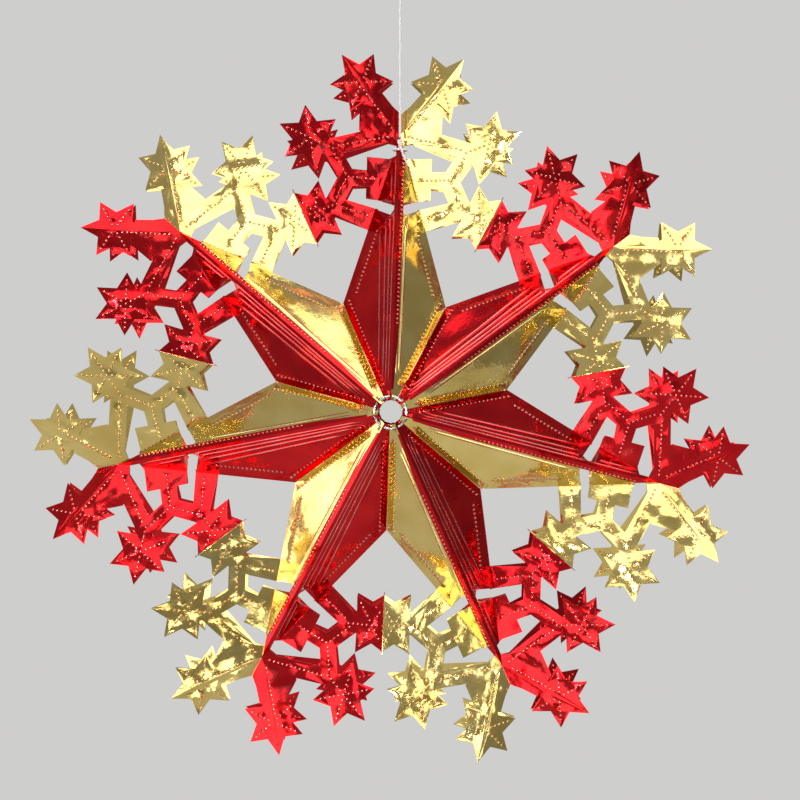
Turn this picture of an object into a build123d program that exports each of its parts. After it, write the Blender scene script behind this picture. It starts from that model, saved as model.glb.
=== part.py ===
"""Hanging foil snowflake star: seven folded rays of red and gold metallised film on a thread.

Each ray has a ridge on the front and one on the back.  A red leaf and a gold leaf meet at each
ridge, the red one lapping over the gold one.  A leaf is a single die-cut sheet: a steep panel that
runs down from the ridge to the star's middle plane, a lace of arms and six-pointed stars that is
creased along the panel's outer edge, and flanges that stand up where it meets the next ray.
The inner tips of all leaves are strung on two wire rings, and the top ray hangs on a thread.

Leaf coordinates: u runs along the ridge from the hub, w runs across it, and the height is measured
from the star's middle plane.  Row frame: the front faces -Y, +Z is up, and the origin is the top
of the hanging loop, where a hook bears.
"""

import os
from math import cos, hypot, pi, radians, sin, tan

from build123d import *

# Star, in millimetres and degrees
RAY_COUNT = 7
LEAN = 2.0  # how far the top ray leans clockwise, seen from the front
APEX_HEIGHT = 50.0  # height of the ridges where they would meet on the hub's axis
TIP_REACH = 196.5  # where a front ridge comes down to the middle plane
NOTCH_U = 75.5  # notch between two rays, along the ridge
LACE_SLOPE = 25.0  # how steeply the lace bends away from the middle plane

# Film and its folds
FILM = 0.34  # thickness of the film along the hub's axis
FILM_GAP = 0.08  # air between two films that lie face to face
LAP = 4.0  # how far the red leaf laps over the gold one at the ridge
LAP_START = 16.0
LAP_START_WIDTH = 1.6
LAP_FULL = 60.0  # from here outward the lap has its full width
LAP_MARGIN = 0.6  # between the lap's edge and the gold leaf's crease
SEAM_HEIGHT = 6.0  # flange along the valley between two rays
SEAM_START = 22.0
SEAM_CORNER = 3.0  # how far the flange's corners are cut back
SEAM_STOP = 1.0  # from the flange's outer end to the notch
INNER_CUT = 8.5  # radius at which the inner tips are trimmed

# Leaf beside the ridge, from the tip inward: block, gap, block, gap, body
TAIL = 14.5  # film past the tip
OUTER_BLOCK = 8.0
OUTER_GAP = 5.5
MIDDLE_BLOCK = 36.0
INNER_GAP = 4.5
NECK = 2.5  # width of the film left beside the ridge at the two gaps
BODY_CORNER = 16.0  # from the inner gap back to the body's outer corner, on the crease
BODY_NOSE = 4.0  # how far the body's end slopes back beside its neck
BODY_LIP = 1.0  # how far the body's end reaches into the gap at the crease
MIDDLE_WIDTH = 22.8
BLOCK_SHOULDER = 4.0  # how far the middle block's free end stands back at each side

# Lace: its stars, its arms and their crossings, along the ridge from the tip and across it
STAR_TIP = 22.2
STAR_NOTCH = 12.4
ARM = 11.4  # width of the arms
BODY_ARM = 16.5  # width of the arm's root on the body
ROOT_RISE = 1.0  # how far that root's middle is shifted outward
TIP_ARM_START = 7.5  # where the arm beside the tip starts, across the ridge
STALK_SIDE = 29.0  # how far out the broad stalk of star 1 reaches
STAR_1_OUT, STAR_1_ACROSS = 33.0, 28.0
STAR_2_IN, STAR_2_ACROSS = 8.5, 62.0
STAR_3_IN, STAR_3_ACROSS = 59.0, 57.5
CROSS_J_IN, CROSS_J_ACROSS = 32.5, 36.0
CROSS_K_IN, CROSS_K_ACROSS = 52.3, 45.5
CROSS_L_IN, CROSS_L_ACROSS = 13.3, 48.3

# Wire rings
WIRE = 1.8
RING_RADIUS = 11.0  # to the middle of the wire
RING_SPLIT = 4.0  # angle of the gap between the wire's butted ends
EYE_CLEARANCE = 0.5  # air round the wire in the eyes of the leaves
ROUND = 8  # sides of the sections of wire and thread, and of an eye

# Thread
THREAD = 1.6
HITCH_RADIUS = 4.7
KNOT_RADIUS = 2.0
KNOT_HEIGHT = 8.0
KNOT_REACH = 5.2  # how far the knot stands in front of the middle plane
THREAD_DROP = 135.0  # from the top of the loop to the middle of the knot
LOOP_HEIGHT = 20.0
LOOP_HALF_WIDTH = 4.6
LOOP_CORNER = 3.8
LOOP_FOOT = 1.0  # half the distance between the loop's legs at its knot
LOOP_SINK = 1.0  # how far the loop's legs run down into their knot
LOOSE_END = [(0.4, 0.0, -2.0), (1.6, -1.5, -6.5), (3.2, -1.9, -11.0), (6.3, -1.4, -16.0)]

# Worked out from the values above
HALF_SECTOR = pi / RAY_COUNT
NOTCH_W = NOTCH_U * tan(HALF_SECTOR)
LIFT = FILM_GAP / 2  # half of the air between the front and the back leaves
PANEL_FALL = APEX_HEIGHT * (1 - NOTCH_U / TIP_REACH) / NOTCH_W  # fall of a panel per mm of w
RIDGE_OVER = (FILM + FILM_GAP) / 2 / PANEL_FALL  # the red fold stands this far past the ridge
RIDGE_REACH = TIP_REACH + TAIL
OUTER_GAP_END = TIP_REACH - OUTER_BLOCK
MIDDLE_END = OUTER_GAP_END - OUTER_GAP
MIDDLE_START = MIDDLE_END - MIDDLE_BLOCK
BODY_END = MIDDLE_START - INNER_GAP
HITCH_U = (OUTER_GAP_END + MIDDLE_END) / 2  # the thread goes round the necks in the outer gap
KNOT_U = HITCH_U + KNOT_HEIGHT / 2  # the knot's foot sits on the turn round the necks

NOTCH = Vector(NOTCH_U, NOTCH_W)
TIP = Vector(TIP_REACH, 0)
CREASE = (TIP - NOTCH).normalized()
ACROSS = Vector(-CREASE.Y, CREASE.X)  # from the crease outward into the lace
SEAM = Vector(cos(HALF_SECTOR), sin(HALF_SECTOR))  # outward along the seam between two rays
SEAM_NORMAL = Vector(-SEAM.Y, SEAM.X)
STAR_1 = TIP + Vector(STAR_1_OUT, STAR_1_ACROSS)
STAR_2 = TIP + Vector(-STAR_2_IN, STAR_2_ACROSS)
STAR_3 = TIP + Vector(-STAR_3_IN, STAR_3_ACROSS)
CROSS_J = TIP + Vector(-CROSS_J_IN, CROSS_J_ACROSS)
CROSS_K = TIP + Vector(-CROSS_K_IN, CROSS_K_ACROSS)
CROSS_L = TIP + Vector(-CROSS_L_IN, CROSS_L_ACROSS)
FAR = RIDGE_REACH + STAR_1_OUT + STAR_TIP  # past every point of the star

HUNG_RAY = Vector(sin(radians(LEAN)), 0, cos(radians(LEAN)))
HUB = Vector(0, KNOT_REACH, -THREAD_DROP) - HUNG_RAY * KNOT_U


def crease_w(u):
    """Where the crease lies at this u."""
    return NOTCH_W * (TIP_REACH - u) / (TIP_REACH - NOTCH_U)


def crease_u(w):
    """Where the crease lies at this w."""
    return TIP_REACH - w * (TIP_REACH - NOTCH_U) / NOTCH_W


def panel_height(u, w):
    """Underside of the panel."""
    return APEX_HEIGHT * (1 - u / TIP_REACH) - PANEL_FALL * w + LIFT


def lace_height(u, w):
    """Underside of the lace, rising outward from the crease."""
    return (Vector(u, w) - NOTCH).dot(ACROSS) * tan(radians(LACE_SLOPE)) + LIFT


def tail_height(u, w):
    """Underside of the facet between the ridge's line and the fold that runs to star 1."""
    return (lace_height(STAR_1.X, STAR_1.Y) - LIFT) / STAR_1.Y * w + LIFT


def lap_height(u, w):
    """Underside of the red lap, which lies on the gold leaf at negative w."""
    return panel_height(u, -w) + FILM + FILM_GAP


def sheet_facet(height, *corners):
    """Film over the plan corners (u, w), with its underside at the height of the function."""
    underside = Face(Wire.make_polygon([(u, w, height(u, w)) for u, w in corners]))
    extrude(underside, amount=FILM, dir=(0, 0, 1))


def polygon(corners, mode=Mode.ADD):
    """Flat face with these corners, in the sketch that is open."""
    Polygon(*corners, align=None, mode=mode)


def arm(start, end, start_width=ARM, end_width=ARM):
    """Corners of a straight arm of the lace, which may taper."""
    side = (end - start).normalized().rotate(Axis.Z, 90)
    corners = [start + side * start_width / 2, start - side * start_width / 2]
    corners += [end - side * end_width / 2, end + side * end_width / 2]
    return [(p.X, p.Y) for p in corners]


def star_corners(centre, direction):
    """Corners of a six-pointed star with one point along this direction."""
    corners = []
    for k in range(12):
        corner = centre + direction.rotate(Axis.Z, 30 * k) * (STAR_NOTCH if k % 2 else STAR_TIP)
        corners.append((corner.X, corner.Y))
    return corners


def leaf_outline(ridge_w):
    """Plan outline of one leaf, drawn for positive w; ridge_w is where its ridge edge lies."""
    body_corner = BODY_END - BODY_CORNER
    body_root = Vector(body_corner + ARM - NECK, crease_w(body_corner) - ARM / 2 + ROOT_RISE)
    body = [(0, ridge_w), (NOTCH_U, NOTCH_W), (body_corner, crease_w(body_corner))]
    body += [(BODY_END + BODY_LIP, crease_w(BODY_END)), (BODY_END - BODY_NOSE, 2 * NECK), (BODY_END, NECK)]
    body += [(BODY_END, ridge_w)]
    middle = [(MIDDLE_START, ridge_w), (MIDDLE_START + BLOCK_SHOULDER, MIDDLE_WIDTH)]
    middle += [(MIDDLE_END - BLOCK_SHOULDER, MIDDLE_WIDTH), (MIDDLE_END - BLOCK_SHOULDER, 3 * NECK)]
    middle += [(MIDDLE_END, ridge_w)]
    neck = [(body_corner, ridge_w), (TIP_REACH, ridge_w), (TIP_REACH, NECK), (body_corner, NECK)]
    outer = [(OUTER_GAP_END, ridge_w), (TIP_REACH, ridge_w), (TIP_REACH, FILM_GAP / 2)]
    outer += [(RIDGE_REACH, FILM_GAP / 2)]
    outer += [(RIDGE_REACH + NECK * 2, NECK * 2.5), (STAR_1.X - NECK * 2, STAR_1.Y / 2)]
    outer += [(RIDGE_REACH + NECK, STALK_SIDE), (TIP_REACH, STALK_SIDE), (OUTER_GAP_END, NECK)]
    seam_shift = SEAM_NORMAL * -FILM_GAP / 2
    seam_end = SEAM * (FAR / cos(HALF_SECTOR)) + seam_shift
    with BuildSketch() as outline:
        polygon(body)
        polygon(middle)
        polygon(neck)
        polygon(outer)
        polygon(arm(body_root, CROSS_K, start_width=BODY_ARM))
        polygon(arm(Vector(CROSS_J.X, MIDDLE_WIDTH / 2), CROSS_J))
        polygon(arm(TIP + Vector(0, TIP_ARM_START), CROSS_L))
        for start, end in ((CROSS_K, STAR_3), (CROSS_K, CROSS_J), (CROSS_J, CROSS_L), (CROSS_L, STAR_2)):
            polygon(arm(start, end))
        polygon(star_corners(STAR_1, (STAR_1 - TIP).normalized()))
        polygon(star_corners(STAR_2, (STAR_2 - CROSS_L).normalized()))
        polygon(star_corners(STAR_3, SEAM_NORMAL))
        seam_corners = [(seam_shift.X, seam_shift.Y), (seam_end.X, seam_end.Y)]
        seam_corners += [(seam_end.X, -LAP), (seam_shift.X, -LAP)]
        polygon(seam_corners, mode=Mode.INTERSECT)
        with Locations((0, 0)):
            RegularPolygon(INNER_CUT, 2 * RAY_COUNT, mode=Mode.SUBTRACT)
    return outline.sketch


def eye_middle():
    """Where the wire ring goes through the panel of a leaf."""
    place = Vector(RING_RADIUS).rotate(Axis.Z, 90 / RAY_COUNT)
    return Vector(place.X, place.Y, panel_height(place.X, place.Y) + FILM / 2)


def seam_flange():
    """Corners of the flange along the valley, as radius and height."""
    inner_r, outer_r = SEAM_START, hypot(NOTCH_U, NOTCH_W) - SEAM_STOP
    inner_foot = panel_height(inner_r * SEAM.X, inner_r * SEAM.Y) + LIFT
    outer_foot = panel_height(outer_r * SEAM.X, outer_r * SEAM.Y) + LIFT
    return [
        (inner_r, inner_foot),
        (outer_r, outer_foot),
        (outer_r - SEAM_CORNER, outer_foot + SEAM_HEIGHT),
        (inner_r + SEAM_CORNER, inner_foot + SEAM_HEIGHT),
    ]


def lace_foot(radius):
    """Height at which the lace meets the seam at this radius."""
    return lace_height(radius * SEAM.X, radius * SEAM.Y) + LIFT


def turned_up(corners):
    """Corners of the lace's plan as radius and height, with what is past the seam turned up it."""
    places = [(Vector(x, y).dot(SEAM), Vector(x, y).dot(SEAM_NORMAL)) for x, y in corners]
    return [(radius, lace_foot(radius) + past) for radius, past in places]


def leaf(laps):
    """Leaf of the front of a ray, at positive w; a leaf that laps has the fold over the ridge."""
    ridge_w = -RIDGE_OVER if laps else RIDGE_OVER
    fold_end = TIP + (STAR_1 - TIP).normalized() * FAR / 2
    seam_back = NOTCH - CREASE * NOTCH_U * 1.3
    eye = eye_middle()
    eye_plane = Plane(origin=tuple(eye), z_dir=(-eye.Y, eye.X, 0))
    with BuildPart() as sheet:
        sheet_facet(panel_height, (-SEAM_START, ridge_w), (crease_u(ridge_w), ridge_w), (seam_back.X, seam_back.Y))
        sheet_facet(
            lace_height,
            (TIP.X, TIP.Y),
            (fold_end.X, fold_end.Y),
            (fold_end.X, FAR),
            (NOTCH_U, FAR),
            (seam_back.X, seam_back.Y),
        )
        sheet_facet(tail_height, (TIP.X, 0), (fold_end.X, 0), (fold_end.X, fold_end.Y))
        with BuildSketch():
            add(leaf_outline(ridge_w))
        extrude(amount=FAR, mode=Mode.INTERSECT)
        # The flanges stand face to face with the next ray's
        seam_plane = Plane(
            origin=tuple(SEAM_NORMAL * -FILM_GAP / 2), x_dir=tuple(SEAM), z_dir=tuple(-SEAM_NORMAL)
        )
        with BuildSketch(seam_plane):
            polygon(turned_up(star_corners(STAR_3, SEAM_NORMAL)))
            above = [(0, lace_foot(0)), (FAR, lace_foot(FAR)), (FAR, FAR), (0, FAR)]
            polygon(above, mode=Mode.INTERSECT)
            polygon(seam_flange())
        extrude(amount=FILM)
        if laps:
            sheet_facet(
                lap_height,
                (LAP_START, ridge_w),
                (crease_u(RIDGE_OVER + LAP_MARGIN), ridge_w),
                (crease_u(LAP + LAP_MARGIN), -LAP),
                (LAP_FULL, -LAP),
                (LAP_START, -LAP_START_WIDTH),
            )
        with BuildSketch(eye_plane):
            RegularPolygon(WIRE / 2 + EYE_CLEARANCE, ROUND, major_radius=False)
        extrude(amount=2 * WIRE, both=True, mode=Mode.SUBTRACT)
    return sheet.part


def leaf_patterns():
    """The four leaves of one ray in leaf coordinates, by face and colour."""
    red, gold = leaf(laps=True), leaf(laps=False)
    patterns = {("front", "red"): red, ("front", "gold"): gold.mirror(Plane.XZ)}
    for colour in ("red", "gold"):
        patterns["back", colour] = patterns["front", colour].mirror(Plane.XY)
    return patterns


def tangent_radii(route):
    """Radius at each corner of a thread's route: as large as its two runs allow."""
    points = [Vector(p) for p in route]
    radii = []
    for before, corner, after in zip(points, points[1:], points[2:]):
        turn = radians((corner - before).get_angle(after - corner))
        run = min((corner - before).length, (after - corner).length)
        radii.append(0.45 * run / tan(turn / 2))
    print("corner radii", [round(r, 1) for r in radii])
    return radii


def thread_section(plane, place=(0, 0)):
    """Section of the thread on this plane."""
    with BuildSketch(plane) as section:
        with Locations(place):
            RegularPolygon(THREAD / 2, ROUND)
    return section.sketch


def knot_section(middle):
    """Half section of a knot whose middle is at this height on the thread."""
    half = [(THREAD / 2, KNOT_HEIGHT / 2), (KNOT_RADIUS, KNOT_HEIGHT / 4)]
    lower = [(x, middle - z) for x, z in half]
    upper = [(x, middle + z) for x, z in reversed(half)]
    with BuildSketch(Plane.XZ) as section:
        polygon([(0, lower[0][1]), *lower, *upper, (0, upper[-1][1])])
    return section.sketch


def write_part(part, name):
    """Label a finished piece and write its STEP file."""
    part.label = name
    export_step(part, f"parts/{name}.step")
    print(name, round(part.volume, 1))


os.makedirs("parts", exist_ok=True)

# Film leaves, four to a ray, numbered clockwise from the ray that hangs on the thread
patterns = leaf_patterns()
for ray in range(RAY_COUNT):
    turn = radians(LEAN + 360 / RAY_COUNT * ray)
    seat = Plane(origin=tuple(HUB), x_dir=(sin(turn), 0, cos(turn)), z_dir=(0, -1, 0))
    for (face, colour), pattern in patterns.items():
        with BuildPart() as film_leaf:
            with Locations(seat.location):
                add(pattern)
        write_part(film_leaf.part, f"ray_{ray + 1}_{face}_{colour}_leaf")

# Wire rings, each bent round from one piece of wire that goes through fourteen eyes
for face, forward in (("front", -1), ("back", 1)):
    ring_middle = (HUB.X, HUB.Y + forward * eye_middle().Z, HUB.Z)
    with BuildPart() as wire_ring:
        with BuildSketch(Plane(origin=ring_middle, x_dir=(0, 0, -1), z_dir=(1, 0, 0))):
            with Locations((RING_RADIUS, 0)):
                RegularPolygon(WIRE / 2, ROUND)
        revolve(axis=Axis(ring_middle, (0, 1, 0)), revolution_arc=360 - RING_SPLIT)
    write_part(wire_ring.part, f"{face}_wire_ring")

# Thread hitch: the turn round the top ray's necks, its knot in front and the loose end
hitch_middle = tuple(HUB + HUNG_RAY * HITCH_U)
hitch_plane = Plane(origin=hitch_middle, x_dir=(0, -1, 0), z_dir=(HUNG_RAY.Z, 0, -HUNG_RAY.X))
with BuildPart() as thread_hitch:
    revolve(thread_section(hitch_plane, (HITCH_RADIUS, 0)), axis=Axis(hitch_middle, tuple(HUNG_RAY)))
    revolve(knot_section(-THREAD_DROP), axis=Axis.Z)
    with BuildLine() as loose_end:
        route = [(x, y, z - THREAD_DROP) for x, y, z in LOOSE_END]
        FilletPolyline(*route, radius=tangent_radii(route))
    sweep(thread_section(Plane(origin=loose_end.line @ 0, z_dir=loose_end.line % 0)), path=loose_end.line)
write_part(thread_hitch.part, "thread_hitch")

# Thread: straight from the hitch's knot up to the knot of the hanging loop, then the loop
loop_foot = THREAD / 2 - LOOP_HEIGHT
loop_knot = loop_foot - KNOT_HEIGHT / 2
with BuildPart() as hanging_thread:
    straight_foot = KNOT_HEIGHT / 2 - THREAD_DROP
    extrude(thread_section(Plane.XY.offset(straight_foot)), amount=loop_knot - straight_foot)
    revolve(knot_section(loop_knot), axis=Axis.Z)
    with BuildLine() as loop_route:
        FilletPolyline(
            (LOOP_FOOT, 0, loop_foot - LOOP_SINK),
            (LOOP_HALF_WIDTH, 0, THREAD / 2),
            (-LOOP_HALF_WIDTH, 0, THREAD / 2),
            (-LOOP_FOOT, 0, loop_foot - LOOP_SINK),
            radius=LOOP_CORNER,
        )
    sweep(thread_section(Plane(origin=loop_route.line @ 0, z_dir=loop_route.line % 0)), path=loop_route.line)
write_part(hanging_thread.part, "hanging_thread")
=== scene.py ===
"""Looks of a hanging foil snowflake star: seven folded rays of red and gold metallised film.

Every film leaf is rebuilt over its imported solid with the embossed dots, the flutes beside the
ridge and the slight waviness of real film.  The wire rings, the thread, its hitch and its knots
are rebuilt round the same centrelines.  Lengths in the classes are in millimetres; meshes are
written in metres in the part's own frame: front to -Y, +Z up, origin on top of the hanging loop.
"""

import itertools
import logging
import math
from collections.abc import Iterable, Sequence
from dataclasses import dataclass, field
from enum import Enum

import bpy
import numpy as np
from mathutils import Matrix, Vector
from mathutils.geometry import delaunay_2d_cdt


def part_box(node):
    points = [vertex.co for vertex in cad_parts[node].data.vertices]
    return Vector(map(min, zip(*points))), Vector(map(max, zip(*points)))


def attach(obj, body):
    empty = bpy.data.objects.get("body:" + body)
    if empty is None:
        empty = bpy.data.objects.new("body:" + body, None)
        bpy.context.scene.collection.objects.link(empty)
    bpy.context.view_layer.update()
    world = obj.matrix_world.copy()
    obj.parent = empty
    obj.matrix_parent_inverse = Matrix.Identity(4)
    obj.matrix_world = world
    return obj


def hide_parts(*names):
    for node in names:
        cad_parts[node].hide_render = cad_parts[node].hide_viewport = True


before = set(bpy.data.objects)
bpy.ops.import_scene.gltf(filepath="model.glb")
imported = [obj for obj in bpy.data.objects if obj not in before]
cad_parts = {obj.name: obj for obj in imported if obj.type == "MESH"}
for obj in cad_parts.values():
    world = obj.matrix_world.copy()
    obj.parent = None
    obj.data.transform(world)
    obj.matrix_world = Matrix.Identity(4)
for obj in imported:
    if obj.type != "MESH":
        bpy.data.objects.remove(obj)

log = logging.getLogger("foil_star")

MM = 0.001
STAR_BODY = "star"
THREAD_BODY = "thread"
HIGHLIGHT_AND_WEAR = "worn"  # value on each point of a film: share of the painted highlight on rib and dot tops, partly also coating scuffed off there
NOISE_MIDDLE = (0.3, 0.7)  # range that holds most of a noise texture's values
Point = tuple[float, float]
Colour = tuple[float, float, float]
Socket = bpy.types.NodeSocket


class FilmColour(Enum):
    """The two films that the star is cut from."""

    RED = "red"
    GOLD = "gold"


class Face(Enum):
    """Which side of the star a leaf belongs to; the value is the sign of its height."""

    FRONT = 1.0
    BACK = -1.0


class Slot(Enum):
    """Material slots of the part's record."""

    RED_FOIL = "red_foil"
    GOLD_FOIL = "gold_foil"
    RING_WIRE = "ring_wire"
    THREAD = "thread"


def set_out(name: str, data: bpy.types.ID) -> bpy.types.Object:
    """Put a mesh, a curve, a lamp or a camera into the scene.

    Args:
        name: Name of the object.
        data: What the object shows.

    Returns:
        The object, linked to the scene.
    """
    thing = bpy.data.objects.new(name, data)
    bpy.context.scene.collection.objects.link(thing)
    return thing


def smooth_mesh(name: str, points: list, faces: list[tuple[int, ...]], fold: float) -> bpy.types.Mesh:
    """Write a mesh that is smooth but for its folds.

    Args:
        name: Name of the mesh.
        points: Its points in metres.
        faces: The points of each face.
        fold: Angle in degrees from which an edge stays sharp.

    Returns:
        The mesh.
    """
    mesh = bpy.data.meshes.new(name)
    mesh.from_pydata(points, [], faces)
    mesh.validate()
    mesh.shade_smooth()
    mesh.set_sharp_from_angle(angle=math.radians(fold))
    return mesh


# ---------------------------------------------------------------------------------------------
# Finishes


class Nodes:
    """Small helper that lays out the nodes of one tree."""

    def __init__(self, tree: bpy.types.NodeTree) -> None:
        """Empty the tree.

        Args:
            tree: Node tree of a material or of the world.
        """
        self.tree = tree
        self.tree.nodes.clear()

    def add(self, kind: str, **settings: object) -> bpy.types.Node:
        """Add one node.

        Args:
            kind: Blender's name of the node type.
            **settings: Properties of the node, set by name.

        Returns:
            The new node.
        """
        node = self.tree.nodes.new(kind)
        for key, value in settings.items():
            setattr(node, key, value)
        return node

    def join(self, source: Socket, target: Socket) -> None:
        """Link an output to an input."""
        self.tree.links.new(source, target)

    def calculate(self, operation: str, *values: Socket | float) -> Socket:
        """Work out one value from others.

        Args:
            operation: Blender's name of the operation.
            *values: The sockets and numbers that it takes, in their order.

        Returns:
            The socket that gives the result.
        """
        node = self.add("ShaderNodeMath", operation=operation)
        for value, socket in zip(values, node.inputs):
            if isinstance(value, float):
                socket.default_value = value
            else:
                self.join(value, socket)
        return node.outputs["Value"]

    def remap(self, value: Socket, read: Point, given: Point, way: str = "LINEAR") -> Socket:
        """Map one range of a value onto another.

        Args:
            value: Socket that is read.
            read: Low and high end of the range that is read.
            given: What those two ends become.
            way: Blender's name of the course between them.

        Returns:
            The socket that gives the result.
        """
        node = self.add("ShaderNodeMapRange", interpolation_type=way)
        for name, number in zip(("From Min", "From Max", "To Min", "To Max"), (*read, *given)):
            node.inputs[name].default_value = number
        self.join(value, node.inputs["Value"])
        return node.outputs["Result"]

    def spread(self, noise: bpy.types.Node, low: float, high: float) -> Socket:
        """Map the middle of a noise onto a range."""
        return self.remap(noise.outputs["Fac"], NOISE_MIDDLE, (low, high))

    def fade(self, value: Socket, start: float, end: float, low: float) -> Socket:
        """Rise smoothly from a low result to 1 between two values."""
        return self.remap(value, (start, end), (low, 1.0), "SMOOTHSTEP")

    def seen(self, share: Socket) -> Socket:
        """Keep the plain background out of the light on the star: only the eye, metal and glass see it.

        Args:
            share: Share of the background at a place or in a direction.

        Returns:
            The socket that gives the background's share for each ray.
        """
        path = self.add("ShaderNodeLightPath").outputs
        mirrored = self.calculate("MAXIMUM", path["Is Glossy Ray"], path["Is Transmission Ray"])
        watched = self.calculate("MAXIMUM", path["Is Camera Ray"], mirrored)
        return self.calculate("MULTIPLY", watched, share)

    def blend(self, share: Socket, shader: Socket, background: Socket, output: bpy.types.Node) -> None:
        """Show a share of the plain background in place of a shader.

        Args:
            share: How much of the background is shown.
            shader: Shader that gives way to it.
            background: Shader of the background.
            output: Node that takes the result.
        """
        mix = self.add("ShaderNodeMixShader")
        self.join(share, mix.inputs["Fac"])
        self.join(shader, mix.inputs[1])
        self.join(background, mix.inputs[2])
        self.join(mix.outputs["Shader"], output.inputs["Surface"])

    def noise(self, scale: float, detail: float, stretch: Sequence[float] = (1, 1, 1)) -> bpy.types.Node:
        """Add a noise texture in object space.

        Args:
            scale: Features per metre.
            detail: Octaves of the noise.
            stretch: Scale along the object's own axes, for noise that runs along the leaf.

        Returns:
            The noise node.
        """
        place = self.add("ShaderNodeTexCoord")
        mapping = self.add("ShaderNodeMapping")
        mapping.inputs["Scale"].default_value = stretch
        texture = self.add("ShaderNodeTexNoise")
        texture.inputs["Scale"].default_value = scale
        texture.inputs["Detail"].default_value = detail
        self.join(place.outputs["Object"], mapping.inputs["Vector"])
        self.join(mapping.outputs["Vector"], texture.inputs["Vector"])
        return texture

    def ramp(self, source: Socket, stops: Sequence[tuple[float, Colour]]) -> Socket:
        """Add a colour ramp.

        Args:
            source: Socket that drives the ramp.
            stops: Position and colour of each stop.

        Returns:
            The socket that gives the colour.
        """
        node = self.add("ShaderNodeValToRGB")
        elements = node.color_ramp.elements
        while len(elements) < len(stops):
            elements.new(0.5)
        for element, (place, colour) in zip(elements, stops):
            element.position = place
            element.color = (*colour, 1.0)
        self.join(source, node.inputs["Fac"])
        return node.outputs["Color"]

    def bump(self, height: Socket, distance: float, below: Socket | None = None) -> Socket:
        """Add a bump.

        Args:
            height: Socket with the height.
            distance: Height of the bump in metres.
            below: Normal of an earlier bump that this one adds to.

        Returns:
            The normal socket.
        """
        node = self.add("ShaderNodeBump")
        node.inputs["Distance"].default_value = distance
        node.inputs["Strength"].default_value = 1.0
        self.join(height, node.inputs["Height"])
        if below is not None:
            self.join(below, node.inputs["Normal"])
        return node.outputs["Normal"]


class NodeSheet(Nodes):
    """The nodes of one material."""

    def __init__(self, name: str) -> None:
        """Start a material with a Principled shader and an output.

        Args:
            name: Name of the material.
        """
        self.material = bpy.data.materials.new(name)
        self.material.use_nodes = True
        super().__init__(self.material.node_tree)
        self.shader = self.add("ShaderNodeBsdfPrincipled")
        self.output = self.add("ShaderNodeOutputMaterial")
        self.join(self.shader.outputs["BSDF"], self.output.inputs["Surface"])

    def dress(self, **values: float) -> None:
        """Set plain numbers on the shader, by the sockets' names with underscores for spaces."""
        for name, value in values.items():
            self.shader.inputs[name.replace("_", " ")].default_value = value

    def feed(self, **sockets: Socket) -> None:
        """Link sockets to the shader, by the inputs' names with underscores for spaces."""
        for name, socket in sockets.items():
            self.join(socket, self.shader.inputs[name.replace("_", " ")])


@dataclass(frozen=True)
class FoilFinish:
    """Mirror-bright metallised film."""

    name: str
    colour: Colour
    deep: Colour
    highlight_and_bare: Colour = (0.93, 0.80, 0.74)  # painted highlight colour of the rib and dot tops, partly also scuffed coating
    smooth: float = 0.07
    dull: float = 0.17
    coat: float = 0.18
    coat_roughness: float = 0.04
    wave_depth: float = 3 * MM
    crinkle_depth: float = 0.09 * MM

    def material(self) -> bpy.types.Material:
        """Build the film's material.

        Returns:
            The material.
        """
        sheet = NodeSheet(self.name)
        sheet.dress(Metallic=1.0, Coat_Weight=self.coat, Coat_Roughness=self.coat_roughness)
        cloudy = sheet.noise(38.0, 2.0)
        colour = sheet.ramp(cloudy.outputs["Fac"], [(0.35, self.deep), (0.65, self.colour)])
        rub_and_highlight_noise = sheet.noise(120.0, 4.0, (0.5, 1.4, 1.0))
        # painted highlight: the colour of the rib and dot tops is mixed towards a pale tint, partly also
        # scuffed coating
        worn = sheet.add("ShaderNodeAttribute", attribute_name=HIGHLIGHT_AND_WEAR)
        highlight_wear_share = sheet.calculate("MULTIPLY", worn.outputs["Fac"], sheet.spread(rub_and_highlight_noise, 0.35, 1.0))
        highlight_mix = sheet.add("ShaderNodeMixRGB")
        highlight_mix.inputs["Color2"].default_value = (*self.highlight_and_bare, 1)
        sheet.join(highlight_wear_share, highlight_mix.inputs["Fac"])
        sheet.join(colour, highlight_mix.inputs["Color1"])
        roughness = sheet.spread(rub_and_highlight_noise, self.smooth, self.dull)
        slack = sheet.noise(20.0, 0.0)
        crinkle = sheet.noise(260.0, 3.0)
        waves = sheet.bump(slack.outputs["Fac"], self.wave_depth)
        normal = sheet.bump(crinkle.outputs["Fac"], self.crinkle_depth, waves)
        sheet.feed(Base_Color=highlight_mix.outputs["Color"], Roughness=roughness, Normal=normal)
        return sheet.material


@dataclass(frozen=True)
class WireFinish:
    """Bright plated wire with drawing marks."""

    name: str = "plated_wire"
    colour: Colour = (0.80, 0.79, 0.77)
    worn: Colour = (0.70, 0.68, 0.65)
    smooth: float = 0.10
    dull: float = 0.24
    mark_depth: float = 0.03 * MM

    def material(self) -> bpy.types.Material:
        """Build the wire's material.

        Returns:
            The material.
        """
        sheet = NodeSheet(self.name)
        sheet.dress(Metallic=1.0)
        wear = sheet.noise(300.0, 3.0)
        tone = sheet.ramp(wear.outputs["Fac"], [(0.35, self.worn), (0.6, self.colour)])
        roughness = sheet.spread(wear, self.smooth, self.dull)
        drawn = sheet.noise(1500.0, 2.0, (0.2, 1.0, 0.2))
        normal = sheet.bump(drawn.outputs["Fac"], self.mark_depth)
        sheet.feed(Base_Color=tone, Roughness=roughness, Normal=normal)
        return sheet.material


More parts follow.
